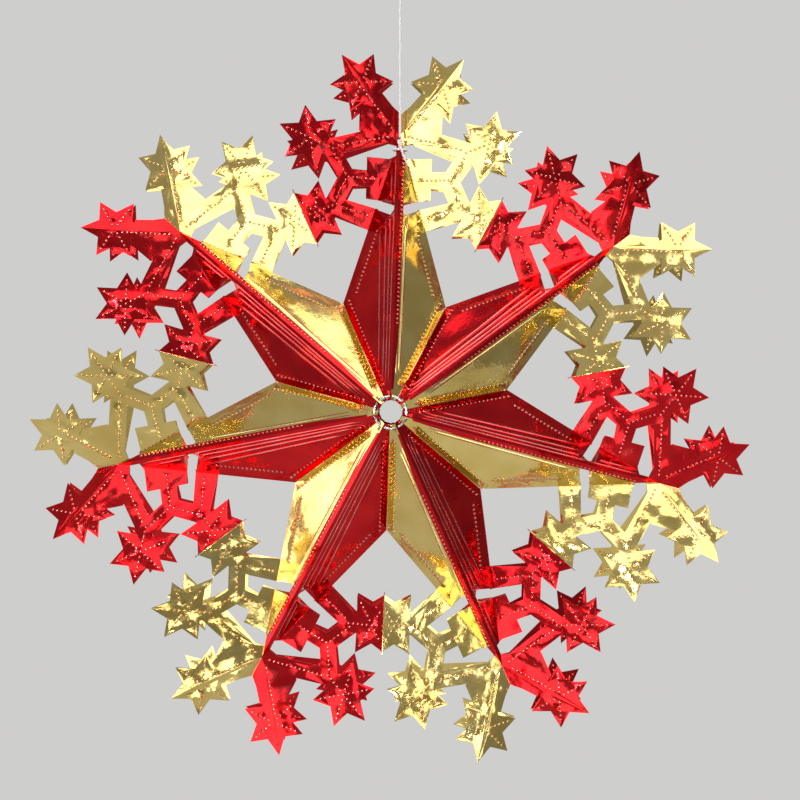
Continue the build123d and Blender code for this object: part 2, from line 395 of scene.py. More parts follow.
@dataclass(frozen=True)
class ThreadFinish:
    """Pale twisted thread with a slight sheen."""

    name: str = "twisted_thread"
    light: Colour = (0.86, 0.86, 0.84)
    # painted shade: colour of the twist's grooves
    groove_shade: Colour = (0.52, 0.51, 0.49)
    twist_pitch: float = 1.6 * MM
    twist_depth: float = 0.12 * MM
    fibre_depth: float = 0.04 * MM
    roughness: float = 0.62
    sheen: float = 0.35

    def material(self) -> bpy.types.Material:
        """Build the thread's material: a diagonal twist with painted shade in its grooves, fine fibres and
        sheen.

        Returns:
            The material.
        """
        sheet = NodeSheet(self.name)
        sheet.dress(Roughness=self.roughness, Sheen_Weight=self.sheen)
        split = sheet.add("ShaderNodeSeparateXYZ")
        sheet.join(sheet.add("ShaderNodeTexCoord").outputs["Object"], split.inputs["Vector"])
        turn = sheet.calculate("ARCTAN2", split.outputs["X"], split.outputs["Y"])
        climb = sheet.calculate("MULTIPLY", split.outputs["Z"], 2 * math.pi / self.twist_pitch)
        swing = sheet.calculate("SINE", sheet.calculate("ADD", turn, climb))
        strands = sheet.calculate("MULTIPLY_ADD", swing, 0.5, 0.5)
        fibres = sheet.noise(6000.0, 3.0)
        twist = sheet.bump(strands, self.twist_depth)
        # painted shade: the colour falls to the groove tint where the twist's bump is low
        sheet.feed(
            Base_Color=sheet.ramp(strands, [(0.0, self.groove_shade), (0.45, self.light)]),
            Normal=sheet.bump(fibres.outputs["Fac"], self.fibre_depth, twist),
        )
        return sheet.material


RED_FILM = FoilFinish("red_film", (0.76, 0.014, 0.016), (0.62, 0.006, 0.012))
GOLD_FILM = FoilFinish("gold_film", (0.90, 0.70, 0.25), (0.82, 0.60, 0.17))
FINISHES = {FilmColour.RED: RED_FILM, FilmColour.GOLD: GOLD_FILM}


# ---------------------------------------------------------------------------------------------
# Meshes of film


def row(start: Point, end: Point, pitch: float, margin: float = 0.0) -> list[Point]:
    """Evenly spaced points on a straight line.

    Args:
        start: First end of the line.
        end: Other end of the line.
        pitch: Distance wanted between points.
        margin: Length left free at each end.

    Returns:
        The points.
    """
    run = math.dist(start, end) - 2 * margin
    if run <= 0:
        return []
    count = max(1, round(run / pitch)) + 1
    ways = [(margin + run * k / (count - 1)) / (run + 2 * margin) for k in range(count)]
    return [(start[0] + (end[0] - start[0]) * t, start[1] + (end[1] - start[1]) * t) for t in ways]


def distance_to(points: np.ndarray, lines: np.ndarray) -> np.ndarray:
    """Measure how far each point lies from the nearest line.

    Args:
        points: Plan points, one per row.
        lines: Lines, each as two plan points.

    Returns:
        The distances.
    """
    if not len(lines):
        return np.full(len(points), np.inf)
    start, end = lines[None, :, 0], lines[None, :, 1]
    way = end - start
    share = ((points[:, None] - start) * way).sum(-1) / np.maximum((way**2).sum(-1), 1e-9)
    foot = start + np.clip(share, 0, 1)[..., None] * way
    return np.sqrt(((points[:, None] - foot) ** 2).sum(-1)).min(axis=1)


def distance_between(points: np.ndarray, others: np.ndarray) -> np.ndarray:
    """Measure how far each point lies from the nearest of some others."""
    return np.sqrt(((points[:, None] - others[None]) ** 2).sum(-1)).min(axis=1)


@dataclass
class Blank:
    """Flat pattern of one piece of film: triangles of its outer face, in plan and with heights."""

    corners: np.ndarray  # triangles x 3 x (plan, plan, height)
    planes: np.ndarray = field(init=False)  # triangles x 3: height = a x + b y + c
    facets: np.ndarray = field(init=False)  # number of the flat facet that each triangle is in
    lines: np.ndarray = field(init=False)  # outline and folds: lines x 2 x 2
    same_slope: float = 0.02  # triangles whose slopes differ by less are in one facet

    def __post_init__(self) -> None:
        """Work out the planes, the facets and the lines."""
        ones = np.ones((len(self.corners), 3, 1))
        system = np.concatenate([self.corners[:, :, :2], ones], axis=2)
        self.planes = np.linalg.solve(system, self.corners[:, :, 2:3])[:, :, 0]
        found: list[np.ndarray] = []
        numbers = []
        for plane in self.planes:
            near = [k for k, other in enumerate(found) if abs(other[:2] - plane[:2]).max() < self.same_slope]
            if not near:
                found.append(plane)
                near = [len(found) - 1]
            numbers.append(near[0])
        self.facets = np.array(numbers)
        sides: dict[tuple, list[tuple[int, np.ndarray]]] = {}
        for number, triangle in zip(numbers, self.corners):
            for k in range(3):
                pair = np.array([triangle[k, :2], triangle[(k + 1) % 3, :2]])
                key = tuple(sorted(tuple(np.round(p, 2)) for p in pair))
                if key[0] != key[1]:
                    sides.setdefault(key, []).append((number, pair))
        real = [uses for uses in sides.values() if len({n for n, _ in uses}) > 1 or len(uses) == 1]
        self.lines = np.array([uses[0][1] for uses in real])

    def where(self, points: np.ndarray) -> np.ndarray:
        """Find the triangle under each point.

        Args:
            points: Plan points, one per row.

        Returns:
            The number of a triangle for each point, or -1 outside the blank.
        """
        a, b, c = (self.corners[None, :, k, :2] for k in range(3))
        p = points[:, None, :]
        d1, d2, d3 = (self._side(p, s, e) for s, e in ((a, b), (b, c), (c, a)))
        slack = 1e-6
        left = (d1 >= -slack) & (d2 >= -slack) & (d3 >= -slack)
        right = (d1 <= slack) & (d2 <= slack) & (d3 <= slack)
        inside = left | right
        return np.where(inside.any(axis=1), inside.argmax(axis=1), -1)

    @staticmethod
    def _side(p: np.ndarray, s: np.ndarray, e: np.ndarray) -> np.ndarray:
        """Twice the signed area between each point and each side."""
        side, reach = e - s, p - s
        return side[..., 0] * reach[..., 1] - side[..., 1] * reach[..., 0]

    def clearance(self, points: np.ndarray) -> np.ndarray:
        """Measure how far each point lies from the nearest outline or fold."""
        return distance_to(points, self.lines)


@dataclass(frozen=True)
class Flute:
    """A narrow rounded rib pressed along the film."""

    start: Point
    end: Point
    half_width: float
    rise: float
    run_out: float = 12.0
    pitch: float = 6.0
    top_share: float = 0.3  # of the half width, where the highlight is painted on the top, partly also scuffed coating

    @property
    def axes(self) -> tuple[np.ndarray, np.ndarray]:
        """Direction along the rib, and the direction across it."""
        way = (np.array(self.end) - self.start) / math.dist(self.start, self.end)
        return way, np.array([-way[1], way[0]])

    def lines(self) -> np.ndarray:
        """Short lines along its top, its flanks and both of its feet.

        Returns:
            The lines, each as two plan points.
        """
        along = np.array(row(self.start, self.end, self.pitch))
        side = self.axes[1] * self.half_width
        runs = [along + side * share for share in np.linspace(-1, 1, 9)]
        return np.concatenate([np.stack([run[:-1], run[1:]], axis=1) for run in runs])

    def place(self, points: np.ndarray) -> tuple[np.ndarray, np.ndarray]:
        """Find where points lie on the rib.

        Args:
            points: Plan points, one per row.

        Returns:
            1 for each point along the rib, falling to 0 at both ends, and its distance beside the
            top as a share of the half width.
        """
        along, across = (points - self.start) @ self.axes[0], abs((points - self.start) @ self.axes[1])
        ends = np.minimum(along, math.dist(self.start, self.end) - along)
        return np.clip(ends / self.run_out, 0, 1), across / self.half_width

    def lift(self, points: np.ndarray) -> np.ndarray:
        """Height of the rib at each point, running out at both ends."""
        held, beside = self.place(points)
        return self.rise * held * np.cos(math.pi / 2 * np.clip(beside, 0, 1)) ** 2

    def top(self, points: np.ndarray) -> np.ndarray:
        """1 along the rib's top and 0 beside it, fading out at both ends."""
        held, beside = self.place(points)
        return held * np.clip(1 - beside / self.top_share, 0, 1)


@dataclass(frozen=True)
class RidgeStrip:
    """Narrow flat that blunts the fold along the ridge."""

    middle: float  # where the fold runs, across the ridge
    back: float  # how far past the fold the flat holds
    half_width: float = 1.35
    start: float = 16.0
    end: float = 192.0
    run_out: float = 8.0

    def half(self, u: np.ndarray) -> np.ndarray:
        """Half width of the flat along the ridge, running out at both ends."""
        ends = np.minimum(u - self.start, self.end - u)
        return self.half_width * np.clip(ends / self.run_out, 0, 1)

    def lines(self) -> np.ndarray:
        """Fold lines along both sides of the flat.

        Returns:
            The lines, each as two plan points.
        """
        u = np.array([self.start, self.start + self.run_out, self.end - self.run_out, self.end])
        runs = [np.stack([u, self.middle + side * self.half(u)], axis=1) for side in (-1, 1)]
        return np.concatenate([np.stack([run[:-1], run[1:]], axis=1) for run in runs])

    def flatten(self, points: np.ndarray, height: np.ndarray, panel: np.ndarray) -> np.ndarray:
        """Level the film over the strip.

        Args:
            points: Plan points, one per row.
            height: Height of the film at each point.
            panel: Plane of the panel beside the ridge.

        Returns:
            The heights with the strip level across.
        """
        u, w = points[:, 0], points[:, 1] - self.middle
        half = self.half(u)
        level = panel[0] * u + panel[1] * (self.middle + half) + panel[2]
        return np.where((w < half) & (w > -np.maximum(half, self.back)) & (half > 0), level, height)


@dataclass
class Embossing:
    """Round dots pressed into the film, flutes that run along it and a blunt ridge."""

    dots: list[Point] = field(default_factory=list)
    flutes: list[Flute] = field(default_factory=list)
    strip: RidgeStrip | None = None
    dot_radius: float = 1.0
    dot_height: float = 0.9
    dot_margin: float = 0.15
    dot_gap: float = 2.3  # least distance between two dots, in dot radii
    held_by: tuple[tuple[Point, Point], ...] = ()  # a point on each fold and the way to its loose side
    limp_run: float = 8.0  # from a fold to where the lace is wholly loose
    mesh_pitch: float = 4.2
    mesh_room: float = 1.1  # least distance of a mesh point from lines and from other points
    fold_room: float = 0.3
    panel_probe: Point = (60.0, 9.0)  # a place on the panel
    ring_points: int = 8
    rings: tuple[float, ...] = (0.55, 1.0)  # circles of points on each dot, in dot radii

    def kept_dots(self, blank: Blank) -> list[Point]:
        """Drop the dots that would meet an outline, a fold or one another.

        Args:
            blank: Pattern that the dots are pressed into.

        Returns:
            The dots that fit.
        """
        if not self.dots:
            return []
        points = np.array(self.dots)
        room = self.dot_radius + self.dot_margin
        kept: list[Point] = []
        for point in points[(blank.where(points) >= 0) & (blank.clearance(points) > room)]:
            if all(math.dist(point, other) > self.dot_gap * self.dot_radius for other in kept):
                kept.append((float(point[0]), float(point[1])))
        return kept

    def mesh_points(self, blank: Blank, dots: list[Point]) -> np.ndarray:
        """Choose the points that carry the embossing and the film's waviness.

        Args:
            blank: Pattern of the film.
            dots: Dots that fit on it.

        Returns:
            Plan points, one per row.
        """
        turns = np.arange(self.ring_points) * 2 * math.pi / self.ring_points
        ring = np.stack([np.cos(turns), np.sin(turns)], axis=1)
        middles = np.array(dots).reshape(-1, 2)
        circles = [middles[:, None] + ring[None] * self.dot_radius * share for share in self.rings]
        taken = np.concatenate([middles, *(circle.reshape(-1, 2) for circle in circles)])
        low, high = blank.corners[..., :2].min((0, 1)), blank.corners[..., :2].max((0, 1))
        step = self.mesh_pitch
        xs = np.arange(low[0], high[0], step)
        ys = np.arange(low[1], high[1], step * 0.866)  # rows of nearly equal-sided triangles
        grid = np.array([(x + (k % 2) * step / 2, y) for k, y in enumerate(ys) for x in xs])
        grid = grid[distance_to(grid, self.folds(blank)) > self.mesh_room]
        grid = grid[(blank.where(grid) >= 0) & (blank.clearance(grid) > self.mesh_room)]
        if len(grid) and len(taken):
            grid = grid[distance_between(grid, taken) > self.mesh_room]
        return np.concatenate([taken, grid])

    def limpness(self, points: np.ndarray) -> np.ndarray:
        """Tell the loose lace from the film that folds hold straight.

        Args:
            points: Plan points, one per row.

        Returns:
            1 well away from the crease, the seam and the ridge's line, and 0 on them and on the
            panel.
        """
        if not self.held_by:
            return np.zeros(len(points))
        past = [(points - foot) @ np.array(way) / self.limp_run for foot, way in self.held_by]
        return np.clip(np.min(past, axis=0), 0, 1)

    def folds(self, blank: Blank) -> np.ndarray:
        """Lines of the flutes that lie on the film.

        Args:
            blank: Pattern that the flutes are pressed into.

        Returns:
            The lines, each as two plan points.
        """
        if not self.flutes:
            return np.zeros((0, 2, 2))
        lines = np.concatenate([flute.lines() for flute in self.flutes])
        ends = lines.reshape(-1, 2)
        inside = (blank.where(ends) >= 0) & (blank.clearance(ends) > self.fold_room)
        return lines[inside.reshape(-1, 2).all(axis=1)]

    def lift(self, points: np.ndarray, dots: list[Point], clear: np.ndarray) -> np.ndarray:
        """Work out how far the pressed forms stand proud of their facet.

        Args:
            points: Plan points, one per row.
            dots: Dots that are pressed into the film.
            clear: Distance of each point from the nearest outline or fold.

        Returns:
            The heights.
        """
        height = np.zeros(len(points))
        for flute in self.flutes:
            height += flute.lift(points) * np.clip(clear, 0, 1)
        if dots:
            nearest = distance_between(points, np.array(dots))
            height += self.dot_height * np.clip(1 - (nearest / self.dot_radius) ** 2, 0, 1)
        return height

    def highlight_and_rub(self, points: np.ndarray, dots: list[Point]) -> np.ndarray:
        """Tell where the highlight is painted, on the tops of the flutes and dots, where the coating is
        partly also scuffed.

        Args:
            points: Plan points, one per row.
            dots: Dots that are pressed into the film.

        Returns:
            1 on a top, falling to 0 beside it.
        """
        worn = np.zeros(len(points))
        for flute in self.flutes:
            worn = np.maximum(worn, flute.top(points))
        if dots:
            nearest = distance_between(points, np.array(dots))
            worn = np.maximum(worn, np.clip(1 - nearest / self.dot_radius, 0, 1))
        return worn


@dataclass
class Sheet:
    """One piece of film, meshed in plan with its pressed forms."""

    plan: np.ndarray  # points x 2
    height: np.ndarray  # outer face, with dots, flutes and the blunt ridge
    clear: np.ndarray  # from the nearest outline or fold
    limp: np.ndarray  # 1 on the loose lace, 0 where folds hold the film straight
    worn: np.ndarray  # 1 where the highlight is painted on the tops, partly also scuffed coating
    faces: list[tuple[int, ...]]
    place: Matrix  # from (plan, plan, height) to the leaf's coordinates
    held: float = 7.0  # width beside outlines and folds over which the film is held straight
    crown: float = 0.32
    waviness: float = 0.22
    curl: float = 0.38  # of the loose lace

    @classmethod
    def pressed(cls, blank: Blank, embossing: Embossing, place: Matrix) -> "Sheet":
        """Mesh one blank with its embossing, its thickness and its cut edge.

        Args:
            blank: Pattern of the film.
            embossing: What is pressed into it.
            place: From (plan, plan, height) to the leaf's coordinates.

        Returns:
            The sheet.
        """
        if embossing.strip:
            blank.lines = np.concatenate([blank.lines, embossing.strip.lines()])
        dots = embossing.kept_dots(blank)
        extra = embossing.mesh_points(blank, dots)
        lines = np.concatenate([blank.lines, embossing.folds(blank)])
        edges = [(2 * k, 2 * k + 1) for k in range(len(lines))]
        loose = [Vector(p) for p in np.concatenate([lines.reshape(-1, 2), extra])]
        verts, _, triangles, *_ = delaunay_2d_cdt(loose, edges, [], 0, 1e-4, False)
        plan = np.array([(v.x, v.y) for v in verts])
        tris = np.array(triangles)
        under = blank.where(plan[tris].mean(axis=1))
        tris, under = tris[under >= 0], under[under >= 0]
        used, tris = np.unique(tris, return_inverse=True)
        plan, tris = plan[used], tris.reshape(-1, 3)
        height = cls._base_height(blank, plan, tris, under)
        if embossing.strip:
            panel = blank.planes[blank.where(np.array([embossing.panel_probe]))[0]]
            height = embossing.strip.flatten(plan, height, panel)
        clear = blank.clearance(plan)
        height += embossing.lift(plan, dots, clear)
        limp, worn = embossing.limpness(plan), embossing.highlight_and_rub(plan, dots)
        return cls(plan, height, clear, limp, worn, cls._closed_faces(plan, tris), place)

    @staticmethod
    def _base_height(blank: Blank, plan: np.ndarray, tris: np.ndarray, under: np.ndarray) -> np.ndarray:
        """Average, at each point, the facets that meet there.

        Args:
            blank: Pattern of the film.
            plan: Plan points of the mesh.
            tris: Points of each triangle of the mesh.
            under: Triangle of the blank that each of them lies in.

        Returns:
            The height of each point.
        """
        height, uses = np.zeros(len(plan)), np.zeros(len(plan))
        for k in range(3):
            corner, plane = tris[:, k], blank.planes[under]
            value = plane[:, 0] * plan[corner, 0] + plane[:, 1] * plan[corner, 1] + plane[:, 2]
            np.add.at(height, corner, value)
            np.add.at(uses, corner, 1)
        return height / np.maximum(uses, 1)

    @staticmethod
    def _closed_faces(plan: np.ndarray, tris: np.ndarray) -> list[tuple[int, ...]]:
        """Close the outer face with an inner face and the cut edge between them.

        Args:
            plan: Plan points of the mesh.
            tris: Points of each triangle of the outer face.

        Returns:
            The points of each face of the closed sheet.
        """
        a, b, c = (plan[tris[:, k]] for k in range(3))
        area = (b[:, 0] - a[:, 0]) * (c[:, 1] - a[:, 1]) - (b[:, 1] - a[:, 1]) * (c[:, 0] - a[:, 0])
        tris[area < 0] = tris[area < 0][:, ::-1]
        count = len(plan)
        faces: list[tuple[int, ...]] = []
        sides = set()
        for t in tris.tolist():
            faces += [tuple(t), tuple(count + v for v in reversed(t))]
            sides.update((t[k], t[(k + 1) % 3]) for k in range(3))
        return faces + [(w, v, count + v, count + w) for v, w in sorted(sides) if (w, v) not in sides]

    def points(self, thickness: float, phase: float) -> np.ndarray:
        """Give the film its slight waviness.

        Args:
            thickness: Thickness of the film.
            phase: Phase of the waviness, different for each leaf.

        Returns:
            Points of the outer face and then of the inner face, in the leaf's coordinates.
        """
        x, y = self.plan.T
        wave = np.sin(x * 0.115 + phase) * np.cos(y * 0.19 - phase)
        wave += 0.5 * np.sin(x * 0.07 - y * 0.23 + 2 * phase)
        cockle = np.sin(x * 0.27 + phase) * np.cos(y * 0.33 - 2 * phase)
        cockle += 0.5 * np.sin(x * 0.41 - y * 0.47 + phase)
        slack = np.clip(self.clear / self.held, 0, 1) ** 2
        height = self.height + slack * (self.crown + self.waviness * wave)
        height += self.curl * self.limp * cockle
        top = np.column_stack([self.plan, height])
        both = np.concatenate([top, top - (0, 0, thickness)])
        return both @ np.array(self.place.to_3x3()).T + np.array(self.place.translation)


@dataclass
class FilmLeaf:
    """A leaf of film with its flange and its bent points, at positive w and front side up."""

    sheets: list[Sheet]
    thickness: float = 0.30
    fold: float = 32.0  # degrees from which an edge is a fold

    def mesh(self, name: str, mirror: Sequence[float], seat: Matrix, phase: float) -> bpy.types.Mesh:
        """Write the leaf as a mesh in the part's frame.

        Args:
            name: Name of the mesh.
            mirror: Sign of each leaf coordinate.
            seat: From leaf coordinates in millimetres to the part's frame in metres.
            phase: Phase of the film's waviness.

        Returns:
            The mesh, with its folds sharp and the rest smooth.
        """
        points, faces, base = [], [], 0
        for sheet in self.sheets:
            points.append(sheet.points(self.thickness, phase))
            faces += [tuple(base + v for v in face) for face in sheet.faces]
            base += 2 * len(sheet.plan)
        if np.prod(mirror) < 0:
            faces = [face[::-1] for face in faces]
        to_part = np.array(seat)
        spots = np.concatenate(points) * mirror @ to_part[:3, :3].T + to_part[:3, 3]
        mesh = smooth_mesh(name, spots.tolist(), faces, self.fold)
        # painted highlight share of each point, carried to the material
        worn = np.concatenate([side for sheet in self.sheets for side in (sheet.worn, sheet.worn)])
        mesh.attributes.new(HIGHLIGHT_AND_WEAR, "FLOAT", "POINT").data.foreach_set("value", worn)
        return mesh


# ---------------------------------------------------------------------------------------------
# Leaves


@dataclass
class LeafPattern:
    """One die-cut leaf, with u along the ridge, w across it and its height from the star's middle."""

    colour: FilmColour
    rays: int = 7
    tip: float = 196.5
    notch: float = 75.5
    star_places: tuple[Point, ...] = ((229.5, 28.0), (188.0, 62.0), (137.5, 57.5))
    crossings: tuple[Point, ...] = ((164.0, 36.0), (144.2, 45.5), (183.2, 48.3))
    body_end: float = 142.5
    body_corner: float = 126.5
    dot_pitch: float = 3.1
    star_rows: tuple[float, ...] = (3.7, 6.9, 10.1, 13.3, 16.5)  # dots from a star's middle outward
    edge_inset: float = 7.0  # from the body's free edge to its row of dots
    valley_inset: float = 3.4
    strip: float = 0.42  # film and gap beside the seam, where the flanges stand
    lap: float = 4.0
    ridge_over: float = 0.25  # from the ridge's middle to the fold of the red film
    face_up: float = 0.3  # least upward share of an outer face's normal
    face_across: float = 0.98  # least share across the seam of a flange's normal

    @property
    def half_sector(self) -> float:
        """Half of the angle between two rays."""
        return math.pi / self.rays

    @property
    def seam(self) -> np.ndarray:
        """Direction outward along the seam between two rays."""
        return np.array([math.cos(self.half_sector), math.sin(self.half_sector)])

    @property
    def notch_point(self) -> np.ndarray:
        """Corner of the body on the seam."""
        return self.notch * np.array([1, math.tan(self.half_sector)])

    def blanks(self, node: bpy.types.Object, seat: Matrix) -> tuple[Blank, Blank, Matrix]:
        """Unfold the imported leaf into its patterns.

        Args:
            node: Packed leaf of the front face.
            seat: From leaf coordinates in millimetres to the part's frame.

        Returns:
            The leaf's own pattern, the pattern of the flange and the bent points, and the place of
            that second pattern in leaf coordinates.
        """
        mesh = node.data
        mesh.calc_loop_triangles()
        back = np.array(seat.inverted())
        points = np.array([v.co for v in mesh.vertices]) @ back[:3, :3].T + back[:3, 3]
        if self.colour is FilmColour.GOLD:
            points[:, 1] *= -1
        triangles = points[np.array([t.vertices for t in mesh.loop_triangles])]
        if self.colour is FilmColour.GOLD:
            triangles = triangles[:, ::-1]
        normals = np.cross(triangles[:, 1] - triangles[:, 0], triangles[:, 2] - triangles[:, 0])
        sizes = np.linalg.norm(normals, axis=1)
        triangles, normals = triangles[sizes > 1e-5], normals[sizes > 1e-5] / sizes[sizes > 1e-5, None]
        across = np.array([-self.seam[1], self.seam[0]])
        beside = -(triangles[..., :2] @ across)
        upper = (normals[:, 2] > self.face_up) & ~((beside < self.strip + 0.02).all(axis=1))
        facing = (normals[:, :2] @ across > self.face_across) & (beside < self.strip / 2).all(axis=1)
        radius = triangles[facing][..., :2] @ self.seam
        offset = np.full(radius.shape, -beside[facing].mean())
        side = np.stack([radius, triangles[facing][..., 2], offset], axis=2)
        normal = Vector((*across, 0.0))
        along = Vector((*self.seam, 0.0))
        up = Vector((0, 0, 1))
        place = Matrix((along, up, normal)).transposed().to_4x4()
        return Blank(triangles[upper]), Blank(side), place

    def star_dots(self, centre: Point, turn: float) -> list[Point]:
        """Dots of one six-pointed star.

        Args:
            centre: Middle of the star.
            turn: Direction of one of its points.

        Returns:
            A dot in the middle and a row towards each point.
        """
        dots = [centre]
        for k in range(6):
            angle = turn + k * math.pi / 3
            for reach in self.star_rows:
                dot = (centre[0] + reach * math.cos(angle), centre[1] + reach * math.sin(angle))
                dots.append(dot)
        return dots

    def lace_dots(self) -> list[Point]:
        """Dots of the stars and of the arms between them.

        Returns:
            The dots.
        """
        star_1, star_2, star_3 = self.star_places
        cross_j, cross_k, cross_l = self.crossings
        tip = (self.tip, 0.0)
        dots = self.star_dots(star_1, math.atan2(star_1[1], star_1[0] - self.tip))
        dots += self.star_dots(star_2, math.atan2(star_2[1] - cross_l[1], star_2[0] - cross_l[0]))
        dots += self.star_dots(star_3, self.half_sector + math.pi / 2)
        root = (self.body_corner + 11, 17.5)
        for start, end, margin in (
            (tip, cross_l, 6.0),
            (root, cross_k, 1.0),
            (cross_k, cross_j, 2.5),
            (cross_j, cross_l, 2.5),
            ((cross_j[0], 13.0), cross_j, 1.0),
            (cross_k, star_3, 2.0),
            (cross_l, star_2, 2.0),
        ):
            dots += row(start, end, self.dot_pitch, margin)
        out = np.array(star_1) - tip
        side = np.array([-out[1], out[0]]) / np.linalg.norm(out) * 2.2
        start, end = np.array(tip) + side + out * 0.12, np.array(star_1) + side
        return dots + row(tuple(start), tuple(end), self.dot_pitch, 2.0)

    def panel_dots(self) -> list[Point]:
        """Dots of the panel: beside the valley, along the body's free edge and on the ridge.

        Returns:
            The dots.
        """
        notch = self.notch_point
        inward = np.array([self.seam[1], -self.seam[0]]) * self.valley_inset
        near, far = self.seam * 20 + inward, notch + inward * 1.4
        dots = row(tuple(near), tuple(far), self.dot_pitch)
        slope = notch[1] / (self.tip - self.notch)
        start = (self.notch + 8, notch[1] - 8 * slope - self.edge_inset)
        end = (self.body_corner + 1, slope * (self.tip - self.body_corner) - self.edge_inset)
        dots += row(start, end, self.dot_pitch)
        if self.colour is FilmColour.RED:
            beside = -self.lap + 1.2
            dots += row((self.notch - 20, beside), (self.tip - 8, beside), self.dot_pitch)
        return dots

    def embossing(self) -> Embossing:
        """Everything that is pressed into the leaf.

        Returns:
            The dots and the flutes beside the ridge.
        """
        dots = self.lace_dots() + self.panel_dots()
        if self.colour is FilmColour.GOLD:
            flutes = [
                Flute((22.0, 3.0), (self.tip - 14, 3.6), 0.85, 0.40),
                Flute((24.0, 5.0), (self.body_end - 4, 6.6), 0.95, 0.42),
            ]
            return Embossing(dots, flutes, RidgeStrip(self.ridge_over, 10.0), held_by=self.lace_folds())
        flutes = [
            Flute((18.0, 2.3), (self.tip - 12, 2.7), 0.85, 0.40),
            Flute((19.0, 4.1), (self.tip - 20, 5.4), 0.90, 0.42),
            Flute((22.0, 6.0), (self.body_end - 3, 8.4), 0.95, 0.42),
            Flute((30.0, 9.2), (self.body_end - 8, 12.2), 1.0, 0.42),
        ]
        return Embossing(dots, flutes, RidgeStrip(-self.ridge_over, 0.0), held_by=self.lace_folds())

    def lace_folds(self) -> tuple[tuple[Point, Point], ...]:
        """The crease, the seam and the ridge's line.

        Returns:
            A point on each of them, and the way from it to the lace.
        """
        crease = (self.tip, 0.0) - self.notch_point
        outward = (-crease[1] / np.linalg.norm(crease), crease[0] / np.linalg.norm(crease))
        return (
            ((self.tip, 0.0), outward),
            ((0.0, 0.0), (self.seam[1], -self.seam[0])),
            ((0.0, 0.0), (0.0, 1.0)),
        )

    def flange_embossing(self, foot: Blank) -> Embossing:
        """Dots of the flange along the valley and of the bent points of the lace's star.

        Args:
            foot: Pattern of the flange, as radius and height.

        Returns:
            The dots.
        """
        low, high = foot.corners[..., :2].min((0, 1)), foot.corners[..., :2].max((0, 1))
        xs, ys = np.arange(low[0], high[0], self.dot_pitch), np.arange(low[1], high[1], 1.0)
        inside = np.array(list(itertools.product(xs, ys)))
        clear = foot.clearance(inside)
        kept = inside[(foot.where(inside) >= 0) & (clear > 2.2) & (clear < 3.3)]
        return Embossing([tuple(p) for p in kept[::2]], mesh_pitch=5.0)

    def film(self, node: bpy.types.Object, seat: Matrix) -> FilmLeaf:
        """Mesh the leaf at positive w, front side up.

        Args:
            node: Packed leaf of the front face.
            seat: From leaf coordinates in millimetres to the part's frame.

        Returns:
            The film of the leaf, its flange and its bent points.
        """
        own, side, place = self.blanks(node, seat)
        leaf = Sheet.pressed(own, self.embossing(), Matrix.Identity(4))
        return FilmLeaf([leaf, Sheet.pressed(side, self.flange_embossing(side), place)])


@dataclass
class FoilStar:
    """The folded star: 28 leaves of film on two wire rings."""

    rays: int = 7
    lean: float = 2.0

    def hub(self) -> Vector:
        """Middle of the star, midway between the two wire rings."""
        front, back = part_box("front_wire_ring"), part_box("back_wire_ring")
        return (front[0] + front[1] + back[0] + back[1]) / 4

    def seat(self, ray: int) -> Matrix:
        """Place of a ray's leaf coordinates.

        Args:
            ray: Number of the ray, from 1, clockwise from the one that hangs on the thread.

        Returns:
            From leaf coordinates in millimetres to the part's frame.
        """
        turn = math.radians(self.lean + 360 / self.rays * (ray - 1))
        along = Vector((math.sin(turn), 0, math.cos(turn)))
        front = Vector((0, -1, 0))
        axes = Matrix((along, front.cross(along), front)).transposed().to_4x4()
        return Matrix.Translation(self.hub()) @ axes @ Matrix.Scale(MM, 4)

    def build(self) -> None:
        """Make the leaves, dress them and hang them on the star's body."""
        for colour in FilmColour:
            material = FINISHES[colour].material()
            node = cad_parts[f"ray_1_front_{colour.value}_leaf"]
            film = LeafPattern(colour).film(node, self.seat(1))
            side = 1.0 if colour is FilmColour.RED else -1.0
            for face, ray in itertools.product(Face, range(1, self.rays + 1)):
                name = f"ray_{ray}_{face.name.lower()}_{colour.value}"
                phase = 1.9 * ray + side + 0.6 * face.value
                mesh = film.mesh(f"film_{name}", (1.0, side, face.value), self.seat(ray), phase)
                mesh.materials.append(material)
                leaf = set_out(f"film_{name}", mesh)
                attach(leaf, STAR_BODY)
                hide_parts(f"{name}_leaf")
                log.info("%s: %d faces", leaf.name, len(mesh.polygons))


